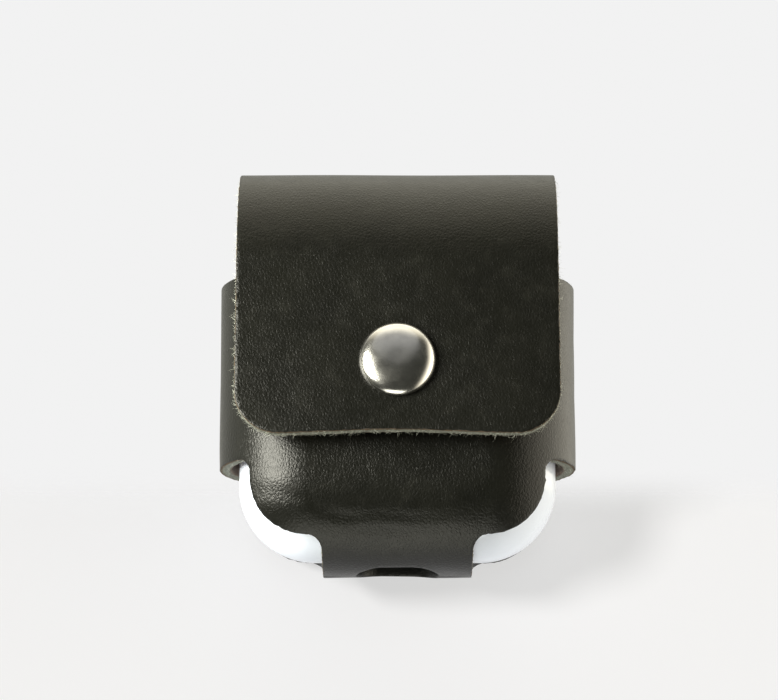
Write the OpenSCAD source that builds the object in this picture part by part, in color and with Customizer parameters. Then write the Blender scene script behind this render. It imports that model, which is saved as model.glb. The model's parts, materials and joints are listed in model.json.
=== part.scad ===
// Leather snap-flap sleeve with a wireless-earbud charging case inside it.
// The object lies on its back: X is its width, +Y points to the lid and the flap's fold,
// -Y points to the charging port, and +Z comes out of the front through the snap.
// Every module is drawn in the case's own coordinates: X across, Y up from the port end,
// Z forward from the middle of the case. place() moves the finished piece to the part's frame.

/* [Charging case] */
// Width of the charging case
case_w = 44.3; // [43.9:0.1:46]
// Length of the case, from its port end to the top of its lid
case_l = 53.5; // [53.1:0.1:55]
// Thickness of the case
case_d = 21.3; // [21:0.1:21.8]
// Wall thickness of the case's shells
wall = 1.4; // [1.3:0.1:1.5]
// Height of the seam between the body and the lid above the port end
seam = 39.5; // [39.3:0.1:39.9]
// Gap between the body's rim and the lid's rim
seam_gap = 0.2; // [0.1:0.05:0.3]

/* [Leather] */
// Thickness of the leather
leather = 1.8; // [1.6:0.1:2]
// Room between the case and the leather in front and behind
slack = 0.3; // [0.25:0.05:0.4]
// Extra room between the case and the leather at each side
side_slack = 0.75; // [0.5:0.05:1]
// Lower edge of the side bands
band_low = 12.9; // [12.5:0.1:13.5]
// Upper edge of the side bands
band_high = 39; // [38.5:0.1:39.2]
// Width of the front and back panels below the bands
panel_w = 40.9; // [40:0.1:42]
// Lower edge of the front and back panels
panel_low = 2.2; // [2:0.1:3]
// Corner radius of the front and back panels
panel_r = 8; // [7:0.1:9]
// Width of the strap that runs under the port end
strap_w = 20.8; // [19:0.1:21.5]
// Width of the cable opening in the strap
slot_w = 11.5; // [10:0.1:12.5]
// Height of the cable opening in the strap
slot_h = 7.8; // [7:0.1:9]

/* [Flap] */
// Width of the flap
flap_w = 44.4; // [42:0.1:45]
// Height of the flap's lower edge above the port end
flap_low = 14.7; // [14:0.1:16]
// Radius of the flap's lower corners
flap_r = 6.2; // [4:0.1:8]
// Slope of the flap's front, in degrees
flap_slope = 6; // [5:0.5:7]
// Bend radius where the flap leaves the fold
flap_bend = 20.5; // [20:0.1:22]
// Height of the snap's centre above the port end
snap_y = 25.1; // [24:0.1:26]
// Diameter of the snap's cap
cap_d = 10.5; // [9:0.1:12]

/* [Seams] */
// Distance of each row of stitches from the middle
stitch_x = 10.4; // [9:0.1:11]
// Stitches in a row
stitch_count = 6; // [4:1:6]

/* [Hidden] */
$fn = 64;
BIG = 100;

// The case is a slab whose edges and corners are round all over.
case_r = case_d / 2;
core_x = case_w / 2 - case_r;
core_low = case_r;
core_high = case_l - case_r;
liner_gap = 0.1;
liner_wall = 0.9;

// The sleeve's outer and inner surfaces run round the case at these radii.
skin_r = case_r + slack + leather;
lining_r = case_r + slack;
skin_x = core_x + side_slack;

// Lid hinge: its axis runs along X just inside the back of the case.
hinge_y = seam;
hinge_z = -case_r + 1.2;
barrel_r = 1.15;
barrel_x = 11.5;
pin_r = 0.5;
pin_clearance = 0.05;
ear_r = 1.1;
ear_in = 11.8;
ear_out = 13.3;
swing_room = 0.3;
recess_x = 16.7;
recess_low = hinge_y - 1.7;
plate_t = 0.8;
leaf_x = 10;
leaf_z = -case_r + wall + liner_gap;
leaf_high = core_high + 0.6;
bracket_z = leaf_z + 0.12;
bracket_low = 33;
arm_low = 36;

// Detent spring, a leaf that presses on the barrel from inside the body.
spring_x = 2.6;
spring_z = -8.05;
spring_t = 0.2;
spring_low = 33.2;
spring_high = 40.2;

// Bends of the leather: back_bend lets the lid open, fold_back and fold_front open the flap.
knuckle_r = leather / 2;
bend_gap = 0.3;
back_bend = [hinge_y - 2.8, -skin_r + knuckle_r];
mid_r = skin_r - knuckle_r;
fold_at = 45;
fold_back = [core_high + mid_r * cos(fold_at), -mid_r * sin(fold_at)];
fold_front = [fold_back[0], -fold_back[1]];
bend_cut = knuckle_r + bend_gap;

// Earbuds: a ball-shaped head and a straight stem that stands in a well.
head_x = 10.8;
head_y = 38.5;
head_r = 6.8;
stem_x = 14.5;
stem_r = 2.9;
stem_low = 6.5;
nozzle_y = 42;
nozzle_r = 2.8;
nozzle_x = 2.6;
bud_wall = 0.9;
well_room = 0.3;
cup_r = head_r + 0.2;

// Snap parts, measured from the leather that they sit on.
cap_rim = 1.3;
cap_rim_z = 0.25;
cap_h = 1.8;
post_r = 1.5;
stud_post_r = 1.2;
socket_r = 3.7;
socket_t = 0.8;
thread_r = 0.35;
thread_room = 0.07;
stitch_pitch = 3.2;
stitch_l = 2.3;
stitch_low = 15.4;

// Setup button, worked through the back of the case.
button_y = 20;
button_r = 2.5;
button_gap = 0.1;
button_flange = 0.7;
button_z = -8.85;

// Main cell, and the board behind it.
cell_x = 9.4;
cell_low = 8.2;
cell_high = 29.4;
cell_z = 6.2;
board_x = 9;
board_z = -7.75;
board_t = 0.8;

// Charging receptacle and status light.
port_w = 8.4;
port_h = 3;
port_wall = 0.3;
port_low = 0.3;
port_high = 6.8;
led_r = 0.9;
led_z = 3;

// Magnets stand in pairs behind the front wall, on both sides of the seam.
magnet_w = 3;
magnet_d = 1.8;
magnet_h = 2.5;
magnet_x = 3.2;
magnet_z = 5.9;
magnet_low = 35.4;

// Outer line of the flap from the front fold down: a wide bend and then a straight slope.
bend_start = [core_high + skin_r * cos(fold_at), skin_r * sin(fold_at)];
function bend_point(a, inset) = [
  bend_start[0] - flap_bend * sin(fold_at) + (flap_bend - inset) * sin(a),
  bend_start[1] - flap_bend * cos(fold_at) + (flap_bend - inset) * cos(a)
];
function slope_point(y, inset) =
  let (top = bend_point(flap_slope, inset))
  [y, top[1] + (top[0] - y) * tan(flap_slope)];
function flap_line(y, inset) = slope_point(y, inset)[1];

// Moves a finished piece from the case's coordinates to the part's frame.
module place() {
  translate([0, -case_l / 2, skin_r]) children();
}

// Draws a left piece from a right one.
module on_left() {
  mirror([1, 0, 0]) children();
}

// Box that is centred on X, between two heights and two depths.
module zone(half_x, y0, y1, z0, z1) {
  translate([-half_x, y0, z0]) cube([2 * half_x, y1 - y0, z1 - z0]);
}

// Rod along X, centred on X.
module rod(r, half_x, y, z) {
  translate([-half_x, y, z]) rotate([0, 90, 0]) cylinder(r = r, h = 2 * half_x);
}

// Upright rod between two heights.
module post(r, x, y0, y1, z = 0) {
  translate([x, y0, z]) rotate([-90, 0, 0]) cylinder(r = r, h = y1 - y0);
}

// Disc that faces forward, between two depths.
module disc(r, y, z0, z1) {
  translate([0, y, z0]) cylinder(r = r, h = z1 - z0);
}

// Slab with round edges and corners, at the distance r from a flat rectangle.
module pebble(r, cx = core_x) {
  for (x = [-cx, cx]) {
    for (y = [core_low, core_high]) {
      translate([x, y, 0]) sphere(r = r);
    }
    post(r, x, core_low, core_high);
  }
  for (y = [core_low, core_high]) rod(r, cx, y, 0);
  zone(cx, core_low, core_high, -r, r);
}

// Flat outline with two round ends.
module stadium(w, h) {
  for (s = [-1, 1]) translate([s * (w - h) / 2, 0]) circle(r = h / 2);
  square([w - h, h], center = true);
}

// Stadium-shaped bar that runs up from height y0 to y1.
module stadium_bar(w, h, y0, y1) {
  translate([0, y0, 0]) rotate([-90, 0, 0]) linear_extrude(y1 - y0) stadium(w, h);
}

// ---- Leather ----

// Outline of the front and back panels below the bands, with the strap under them.
module panel_outline() {
  half = panel_w / 2;
  for (s = [-1, 1]) {
    translate([s * (half - panel_r), panel_low + panel_r]) circle(r = panel_r);
  }
  translate([-half, panel_low + panel_r]) square([panel_w, band_low - panel_low - panel_r + 1]);
  translate([-half + panel_r, panel_low]) square([panel_w - 2 * panel_r, panel_r + 0.1]);
}

// Room for one saddle stitch in the back of the sleeve.
module stitch_room(x, y) {
  r = thread_r + thread_room;
  post(r, x, y, y + stitch_l, -skin_r + 0.4);
  translate([x - r, y, -skin_r - 1]) cube([2 * r, stitch_l, 1.4]);
  for (end = [0, stitch_l]) {
    translate([x, y + end, -skin_r - 1]) cylinder(r = r, h = leather + 2);
  }
}

// One saddle stitch: a bar of thread in the surface and its two legs.
module stitch(x, y) {
  post(thread_r, x, y, y + stitch_l, -skin_r + 0.4);
  for (end = [0, stitch_l]) {
    translate([x, y + end, -skin_r + 0.4]) sphere(r = thread_r);
    translate([x, y + end, -skin_r + 0.4]) cylinder(r = thread_r, h = leather - 0.6);
  }
}

// The leather's path round the case, before it is cut to shape.
module sleeve_shell() difference() {
  pebble(skin_r, skin_x);
  pebble(lining_r, skin_x);
}

// Ring round the middle of the case.
module bands() difference() {
  stadium_bar(2 * (skin_x + skin_r), 2 * skin_r, band_low, band_high);
  stadium_bar(2 * (skin_x + lining_r), 2 * lining_r, band_low - 1, band_high + 1);
}

// Front and back panels below the bands.
module panels() intersection() {
  sleeve_shell();
  translate([0, 0, -BIG]) linear_extrude(2 * BIG) panel_outline();
}

// Strap under the port end, which joins the two panels.
module strap() intersection() {
  sleeve_shell();
  zone(strap_w / 2, -BIG, panel_low + 1, -BIG, BIG);
}

// Front panel, side bands, strap and lower back, cut from one piece of leather.
module sleeve_body() color([0.16, 0.16, 0.13]) place() difference() {
  union() {
    bands();
    panels();
    strap();
  }
  // Cable opening.
  stadium_bar(slot_w, slot_h, -BIG, 2);
  // The back stops below the bend that lets the lid open.
  zone(flap_w / 2 + 0.4, back_bend[0] - bend_cut, BIG, -BIG, -7);
  // Snap stud's rivet.
  disc(stud_post_r + 0.1, snap_y, 0, BIG);
  disc(4.1, snap_y, 0, lining_r + 0.35);
  for (x = [-stitch_x, stitch_x]) {
    for (i = [0 : stitch_count - 1]) stitch_room(x, stitch_low + i * stitch_pitch);
  }
}

module stitch_row(x) color([0.2, 0.19, 0.15]) place() {
  for (i = [0 : stitch_count - 1]) stitch(x, stitch_low + i * stitch_pitch);
}

module left_stitches() stitch_row(-stitch_x);

module right_stitches() stitch_row(stitch_x);

// Points along an arc of the leather's arch over the lid, from angle a0 to a1.
function arch_points(r, a0, a1, steps = 10) = [
  for (i = [0 : steps])
    let (a = a0 + (a1 - a0) * i / steps)
    [core_high + r * cos(a), r * sin(a)]
];

// Extrudes an outline drawn in (Y, Z) across X.
module across(half_x) {
  translate([-half_x, 0, 0]) rotate([90, 0, 90]) linear_extrude(2 * half_x) children();
}

// Angle that the cut before a fold takes up on the arch.
cut_angle = asin(bend_cut / mid_r);

// Leather behind the lid, from the back bend to the fold behind the top.
module upper_back() color([0.16, 0.16, 0.13]) place() across(flap_w / 2) {
  translate([back_bend[0], -skin_r]) square([core_high - back_bend[0], leather]);
  translate(back_bend) circle(r = knuckle_r);
  polygon(concat(
    arch_points(skin_r, -90, -fold_at - cut_angle),
    arch_points(lining_r, -fold_at - cut_angle, -90)
  ));
}

// Leather over the lid's top, between the two folds.
module flap_top() color([0.2, 0.2, 0.17]) place() across(flap_w / 2) {
  translate(fold_back) circle(r = knuckle_r);
  polygon(concat(
    arch_points(skin_r, -fold_at, fold_at - cut_angle, 16),
    arch_points(lining_r, fold_at - cut_angle, -fold_at, 16)
  ));
}

// The flap's front in profile.
module flap_profile() {
  steps = 10;
  angles = [for (i = [0 : steps]) fold_at + (flap_slope - fold_at) * i / steps];
  translate(fold_front) circle(r = knuckle_r);
  polygon(concat(
    [for (a = angles) bend_point(a, 0)],
    [slope_point(flap_low, 0), slope_point(flap_low, leather)],
    [for (i = [steps : -1 : 0]) bend_point(angles[i], leather)]
  ));
}

// The flap's front seen from the front, with its two round corners.
module flap_outline() {
  half = flap_w / 2;
  translate([-half, flap_low + flap_r]) square([flap_w, BIG]);
  translate([-half + flap_r, flap_low]) square([flap_w - 2 * flap_r, flap_r + 1]);
  for (s = [-1, 1]) translate([s * (half - flap_r), flap_low + flap_r]) circle(r = flap_r);
}

// Stands children on the flap's outer surface at the snap, with Z along its normal.
module at_snap() {
  translate([0, snap_y, flap_line(snap_y, 0)]) rotate([-flap_slope, 0, 0]) children();
}

module flap_front() color([0.16, 0.16, 0.13]) place() difference() {
  intersection() {
    across(flap_w / 2) flap_profile();
    linear_extrude(BIG) flap_outline();
  }
  at_snap() translate([0, 0, -leather - 2]) cylinder(r = post_r + 0.1, h = leather + 4);
}

// ---- Snap ----

// Radius of the cap's dome, which runs smoothly into its round rim.
cap_in = cap_d / 2 - cap_rim;
dome_drop = cap_h - cap_rim_z;
dome_r = (cap_in * cap_in + dome_drop * dome_drop - cap_rim * cap_rim) / (2 * (dome_drop - cap_rim));

// Domed cap with a round rim, and the post that holds it in the flap.
module snap_cap() color([0.75, 0.75, 0.74]) place() at_snap() {
  dome_z = cap_h - dome_r;
  lean = (cap_rim_z - dome_z) / (dome_r - cap_rim);
  rotate_extrude() {
    square([cap_in, cap_rim_z]);
    intersection() {
      translate([cap_in, cap_rim_z]) circle(r = cap_rim);
      square([cap_d, cap_h]);
    }
    intersection() {
      translate([0, dome_z]) circle(r = dome_r);
      polygon([
        [0, 0], [cap_in, 0], [cap_in, cap_rim_z],
        [cap_in + 3 * cap_in / (dome_r - cap_rim), cap_rim_z + 3 * lean], [0, 4]
      ]);
    }
  }
  translate([0, 0, -leather - 0.1]) cylinder(r = post_r, h = leather + 0.2);
}

module snap_socket() color([0.66, 0.66, 0.65]) place() at_snap() rotate_extrude() difference() {
  translate([0, -leather - socket_t]) square([socket_r, socket_t]);
  translate([-1, -leather - socket_t - 1]) square([3.4, socket_t + 0.8]);
  translate([-1, -leather - 1]) square([post_r + 1.05, 2]);
  translate([2.4, -leather - 0.5]) circle(r = 0.24);
}

// Wire ring in the socket that grips the stud.
module snap_spring() color([0.7, 0.65, 0.5]) place() at_snap() rotate_extrude() {
  translate([2.38, -leather - 0.5]) circle(r = 0.18);
}

// Stud on the front panel.
module snap_stud() color([0.66, 0.66, 0.65]) place() {
  translate([0, snap_y, skin_r]) rotate_extrude() {
    square([3.6, 0.25]);
    square([1.6, 1.4]);
    translate([0, 0.95]) square([1.9, 0.45]);
  }
}

// Rivet that holds the stud, with its flange sunk in the leather.
module snap_stud_post() color([0.66, 0.66, 0.65]) place() {
  disc(4, snap_y, lining_r + 0.02, lining_r + 0.3);
  disc(stud_post_r, snap_y, lining_r + 0.02, skin_r);
}

// ---- Case body ----

// Box round the magnet at x between two heights, larger by grow on its four other sides.
module magnet_box(x, y0, y1, grow = 0) {
  translate([x - magnet_w / 2 - grow, y0, magnet_z - grow]) {
    cube([magnet_w + 2 * grow, y1 - y0, magnet_d + 2 * grow]);
  }
}

// Space that the lid's barrel and back edge turn in.
module hinge_recess() {
  rod(barrel_r + swing_room, recess_x, hinge_y, hinge_z);
  zone(recess_x, recess_low, hinge_y, -BIG, hinge_z);
}

module case_shell() color([0.95, 0.95, 0.96]) place() difference() {
  pebble(case_r);
  pebble(case_r - wall);
  zone(BIG, seam - seam_gap / 2, BIG, -BIG, BIG);
  stadium_bar(port_w + 0.2, port_h + 0.2, -1, 3);
  disc(button_r + button_gap, button_y, -BIG, 0);
  hinge_recess();
}

// Inner frame with a cup and a well for each earbud.
module inner_tray() color([0.93, 0.93, 0.94]) place() difference() {
  deck_low = seam - 1.5;
  deck_high = seam - 0.3;
  cup_low = head_y - head_r - well_room;
  deck_r = case_r - wall - liner_gap;
  union() {
    stadium_bar(2 * (core_x + deck_r), 2 * deck_r, deck_low, deck_high);
    for (x = [-1, 1]) {
      post(cup_r + 0.8, x * head_x, cup_low - 0.8, deck_high);
      post(stem_r + well_room + 0.8, x * stem_x, 5, deck_low);
      magnet_box(x * magnet_x, magnet_low - 0.4, deck_low + 0.5, 0.5);
    }
  }
  for (x = [-1, 1]) {
    post(cup_r, x * head_x, cup_low, BIG);
    post(stem_r + well_room, x * stem_x, 5.6, BIG);
    post(1.6, x * stem_x, 0, BIG);
    magnet_box(x * magnet_x, magnet_low - 1, deck_low, 0.1);
  }
  post(led_r + 0.1, 0, deck_low - 1, BIG, led_z);
  zone(recess_x + 0.3, 30, BIG, -BIG, -7.6);
}

module battery() color([0.35, 0.36, 0.38]) place() zone(cell_x, cell_low, cell_high, -cell_z, cell_z);

module main_board() color([0.1, 0.35, 0.2]) place() {
  zone(board_x, cell_low - 0.6, cell_high, board_z, board_z + board_t);
}

// Metal receptacle for the charging plug.
module charge_port() color([0.7, 0.7, 0.72]) place() difference() {
  stadium_bar(port_w, port_h, port_low, port_high);
  stadium_bar(port_w - 2 * port_wall, port_h - 2 * port_wall, -1, port_high - 0.5);
}

module port_contacts() color([0.85, 0.7, 0.35]) place() {
  zone(2.8, 2, port_high - 0.5, -1.1, -0.75);
}

module status_led() color([0.3, 0.8, 0.4]) place() {
  post(led_r, 0, seam - 1.9, seam - 0.3, led_z);
}

module button_switch() color([0.75, 0.75, 0.75]) place() {
  disc(1.6, button_y, board_z - 0.45, board_z);
}

module setup_button() color([0.94, 0.94, 0.95]) place() {
  disc(button_r, button_y, -case_r + 0.05, button_z);
  disc(button_r + button_flange, button_y, button_z - 0.35, button_z);
}

// Plate inside the body whose two ears hold the hinge pin.
module hinge_bracket() color([0.7, 0.7, 0.72]) place() difference() {
  union() {
    zone(ear_out, bracket_low, arm_low + 0.8, bracket_z, bracket_z + plate_t);
    for (x = [-ear_out, ear_in]) {
      translate([x, arm_low, bracket_z]) cube([ear_out - ear_in, hinge_y - arm_low, plate_t]);
      translate([x, hinge_y, hinge_z]) rotate([0, 90, 0]) cylinder(r = ear_r, h = ear_out - ear_in);
    }
  }
  rod(pin_r, BIG, hinge_y, hinge_z);
}

module hinge_pin() color([0.8, 0.8, 0.82]) place() rod(pin_r, ear_out, hinge_y, hinge_z);

// Leaf spring that holds the lid open or shut against the barrel.
module detent_spring() color([0.72, 0.7, 0.66]) place() {
  zone(spring_x, spring_low, spring_high, spring_z, spring_z + spring_t);
  zone(spring_x, spring_low, arm_low + 0.4, bracket_z + plate_t, spring_z + spring_t / 2);
}

module body_magnets() color([0.45, 0.45, 0.48]) place() {
  for (x = [-magnet_x, magnet_x]) magnet_box(x, magnet_low, magnet_low + magnet_h);
}

module well_contacts() color([0.85, 0.7, 0.35]) place() {
  for (x = [-stem_x, stem_x]) post(1.5, x, 4.7, 5.8);
}

// ---- Earbuds ----

// Earbud on the right: a hollow head, a nozzle towards the middle and a hollow stem.
module earbud_shell() color([0.97, 0.97, 0.98]) place() difference() {
  union() {
    translate([head_x, head_y, 0]) sphere(r = head_r);
    post(stem_r, stem_x, stem_low, head_y);
    translate([nozzle_x, nozzle_y, 0]) rotate([0, 90, 0]) cylinder(r = nozzle_r, h = head_x - nozzle_x);
  }
  translate([head_x, head_y, 0]) sphere(r = head_r - bud_wall);
  post(stem_r - bud_wall, stem_x, stem_low + 1, head_y);
  translate([nozzle_x - 1, nozzle_y, 0]) rotate([0, 90, 0]) cylinder(r = nozzle_r - 0.7, h = 6);
}

module speaker_mesh() color([0.25, 0.25, 0.27]) place() {
  translate([nozzle_x + 0.1, nozzle_y, 0]) rotate([0, 90, 0]) cylinder(r = nozzle_r - 0.75, h = 0.3);
}

module charge_contact() color([0.85, 0.85, 0.86]) place() {
  post(2.2, stem_x, stem_low - 0.55, stem_low);
}

module speaker() color([0.6, 0.6, 0.62]) place() {
  translate([7.3, head_y, 0]) rotate([0, 90, 0]) cylinder(r = 3.2, h = 2.4);
}

module cell() color([0.4, 0.42, 0.45]) place() post(1.8, stem_x, 9, 31);

module left_earbud_shell() on_left() earbud_shell();

module left_speaker_mesh() on_left() speaker_mesh();

module left_charge_contact() on_left() charge_contact();

module left_speaker() on_left() speaker();

module left_cell() on_left() cell();

module right_earbud_shell() earbud_shell();

module right_speaker_mesh() speaker_mesh();

module right_charge_contact() charge_contact();

module right_speaker() speaker();

module right_cell() cell();

// ---- Lid ----

module lid_shell() color([0.95, 0.95, 0.96]) place() difference() {
  pebble(case_r);
  pebble(case_r - wall);
  zone(BIG, -BIG, seam + seam_gap / 2, -BIG, BIG);
  rod(barrel_r + swing_room, ear_out + 0.15, hinge_y, hinge_z);
}

// Inner skin of the lid, with a pocket for each magnet.
module lid_liner() color([0.93, 0.93, 0.94]) place() difference() {
  outer_r = case_r - wall - liner_gap;
  union() {
    difference() {
      pebble(outer_r);
      pebble(outer_r - liner_wall);
      zone(BIG, -BIG, seam + 0.2, -BIG, BIG);
    }
    for (s = [-1, 1]) magnet_box(s * magnet_x, seam + 0.3, seam + magnet_h + 1.1, 0.7);
  }
  for (s = [-1, 1]) magnet_box(s * magnet_x, seam, seam + magnet_h + 0.5, 0.1);
  rod(barrel_r + swing_room, recess_x, hinge_y, hinge_z);
  zone(10.4, seam - 1, 46, -BIG, -8.2);
}

module lid_magnets() color([0.45, 0.45, 0.48]) place() {
  for (x = [-magnet_x, magnet_x]) magnet_box(x, seam + 0.4, seam + 0.4 + magnet_h);
}

// Barrel that turns on the pin, and the leaf that carries it inside the lid.
module hinge_leaf() color([0.72, 0.72, 0.74]) place() difference() {
  union() {
    rod(barrel_r, barrel_x, hinge_y, hinge_z);
    zone(leaf_x, hinge_y, leaf_high, leaf_z, leaf_z + plate_t);
  }
  rod(pin_r + pin_clearance, BIG, hinge_y, hinge_z);
}

sleeve_body();
left_stitches();
right_stitches();
snap_stud();
snap_stud_post();
case_shell();
inner_tray();
battery();
main_board();
charge_port();
port_contacts();
status_led();
button_switch();
hinge_bracket();
hinge_pin();
detent_spring();
body_magnets();
well_contacts();
left_earbud_shell();
left_speaker_mesh();
left_charge_contact();
left_speaker();
left_cell();
right_earbud_shell();
right_speaker_mesh();
right_charge_contact();
right_speaker();
right_cell();
setup_button();
lid_shell();
lid_liner();
lid_magnets();
hinge_leaf();
upper_back();
flap_top();
flap_front();
snap_cap();
snap_socket();
snap_spring();
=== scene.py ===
import json
import math

import bpy
import numpy as np
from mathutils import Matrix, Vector


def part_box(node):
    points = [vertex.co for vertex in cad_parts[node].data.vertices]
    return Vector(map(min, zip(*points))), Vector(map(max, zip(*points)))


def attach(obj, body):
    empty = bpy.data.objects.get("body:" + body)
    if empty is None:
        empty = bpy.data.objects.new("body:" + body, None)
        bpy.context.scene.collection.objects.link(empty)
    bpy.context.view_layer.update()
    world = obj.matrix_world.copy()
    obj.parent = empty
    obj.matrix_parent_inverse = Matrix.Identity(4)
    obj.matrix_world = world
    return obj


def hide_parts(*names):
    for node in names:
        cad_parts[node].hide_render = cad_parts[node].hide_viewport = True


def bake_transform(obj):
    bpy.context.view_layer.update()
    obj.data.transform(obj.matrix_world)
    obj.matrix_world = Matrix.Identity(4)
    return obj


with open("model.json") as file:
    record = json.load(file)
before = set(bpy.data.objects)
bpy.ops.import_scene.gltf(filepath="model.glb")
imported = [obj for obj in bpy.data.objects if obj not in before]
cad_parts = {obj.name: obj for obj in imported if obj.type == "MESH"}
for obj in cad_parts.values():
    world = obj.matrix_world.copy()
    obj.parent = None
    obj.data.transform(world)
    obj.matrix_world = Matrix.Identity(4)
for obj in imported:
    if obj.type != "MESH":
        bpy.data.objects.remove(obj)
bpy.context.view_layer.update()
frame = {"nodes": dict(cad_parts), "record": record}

# Lengths are in millimetres and in the case's own coordinates, as in the part's source: x across,
# v up from the port end, z forward from the middle of the case. to_row() moves points to the row
# frame, in metres.
MM = 0.001
SKIN_LOW, SKIN_HIGH = (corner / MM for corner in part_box("sleeve_body"))
CASE_LOW, CASE_HIGH = (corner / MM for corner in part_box("case_shell"))
LID_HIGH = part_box("lid_shell")[1] / MM
FLAP_LOW, FLAP_HIGH = (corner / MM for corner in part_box("flap_front"))
CAP_LOW, CAP_HIGH = (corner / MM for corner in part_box("snap_cap"))

SKIN_R = (SKIN_HIGH.z - SKIN_LOW.z) / 2
SKIN_X = SKIN_HIGH.x - SKIN_R
CORE_LOW = (CASE_HIGH.z - CASE_LOW.z) / 2
CORE_HIGH = LID_HIGH.y - CASE_LOW.y - CORE_LOW
LEATHER = 1.8
MID_R = SKIN_R - LEATHER / 2

BAND = (12.9, 39.0)
PANEL_X = 20.45
PANEL_LOW = 2.2
BACK_PANEL_LOW = 1.15
PANEL_R = 8.0
STRAP_X = 10.4
STRAP_TAPER = 0.03
SLOT_X = 5.75
SLOT_R = 3.9
BACK_TOP = 35.0
CUT_X = 23.6
FILLET = 2.0

FLAP_X = FLAP_HIGH.x
FLAP_END = FLAP_LOW.y - CASE_LOW.y
FLAP_R = 6.2
FLAP_SLOPE = math.radians(6)
FLAP_BEND = 20.5
FLAP_LIFT = 0.6
SPLIT_LOW = 41.0
SNAP_V = (CAP_LOW.y + CAP_HIGH.y) / 2 - CASE_LOW.y
CAP_R = (CAP_HIGH.x - CAP_LOW.x) / 2

CELL = 0.4
INSET = 0.14
# The cut edge in section, from the outer skin to the flesh: how far it stands out of the outline,
# and how deep it is, from 0 to 1.
EDGE = ((-0.05, 0.03), (0.0, 0.12), (0.03, 0.34), (0.02, 0.6), (-0.02, 0.84), (-0.08, 0.97))
EDGE_NOISE = 0.03
# Material slots of every piece of leather.
SKIN, RAW, FLESH = 0, 1, 2


# ---- Helpers for shapes ----

def to_row(points):
    """Points in the case's coordinates, in millimetres, moved to the row frame, in metres."""
    shift = np.array([0.0, CASE_LOW.y, SKIN_R + SKIN_LOW.z])
    return (np.asarray(points, float) + shift) * MM


def soft_step(x, low, high):
    """0 below low, 1 above high, and smooth between them."""
    t = np.clip((x - low) / (high - low), 0, 1)
    return t * t * (3 - 2 * t)


def bell(x, width):
    """1 at zero, falling off smoothly at about the width given."""
    return np.exp(-(x / width) ** 2)


def rounded_box(x, y, half_x, half_y, radius):
    """Distance from a rectangle with round corners, below zero inside it."""
    dx = np.abs(x) - half_x + radius
    dy = np.abs(y) - half_y + radius
    outside = np.hypot(np.maximum(dx, 0), np.maximum(dy, 0))
    return outside + np.minimum(np.maximum(dx, dy), 0) - radius


def join(a, b, radius):
    """Distance from two shapes joined with a round inner corner."""
    corner = np.hypot(np.maximum(radius - a, 0), np.maximum(radius - b, 0))
    return np.maximum(radius, np.minimum(a, b)) - corner


def slope(field, u, v, step=0.01):
    """Gradient of a field over the flat leather."""
    du = (field(u + step, v) - field(u - step, v)) / (2 * step)
    dv = (field(u, v + step) - field(u, v - step)) / (2 * step)
    return du, dv


def onto_line(field, u, v, near):
    """Moves the points within near of the field's zero line onto it, and says which they are."""
    du, dv = slope(field, u, v)
    close = np.abs(field(u, v)) < near * np.sqrt(du ** 2 + dv ** 2)
    for _ in range(3):
        du, dv = slope(field, u, v)
        step = field(u, v) / np.maximum(du ** 2 + dv ** 2, 1e-9)
        u = np.where(close, u - step * du, u)
        v = np.where(close, v - step * dv, v)
    return u, v, close


def cut_grid(us, vs, field):
    """The part of a grid where the field is below zero: u, v of all grid points, and the faces."""
    u, v = np.meshgrid(us, vs, indexing="ij")
    u, v, close = onto_line(field, u, v, 0.5 * (us[1] - us[0]))
    inside = close | (field(u, v) < 0)
    index = np.arange(u.size).reshape(u.shape)
    corners = [index[:-1, :-1], index[1:, :-1], index[1:, 1:], index[:-1, 1:]]
    kept = [inside[:-1, :-1], inside[1:, :-1], inside[1:, 1:], inside[:-1, 1:]]
    count = sum(k.astype(int) for k in kept)
    faces = np.stack([c[count == 4] for c in corners], 1).tolist()
    for i in range(4):
        gone = (count == 3) & ~kept[i]
        faces += np.stack([corners[(i + k) % 4][gone] for k in (1, 2, 3)], 1).tolist()
    return u.ravel(), v.ravel(), faces


def rim_edges(faces):
    """Directed edges that only one face has."""
    edges = {(f[i], f[(i + 1) % len(f)]) for f in faces for i in range(len(f))}
    return sorted(e for e in edges if (e[1], e[0]) not in edges)


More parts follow.
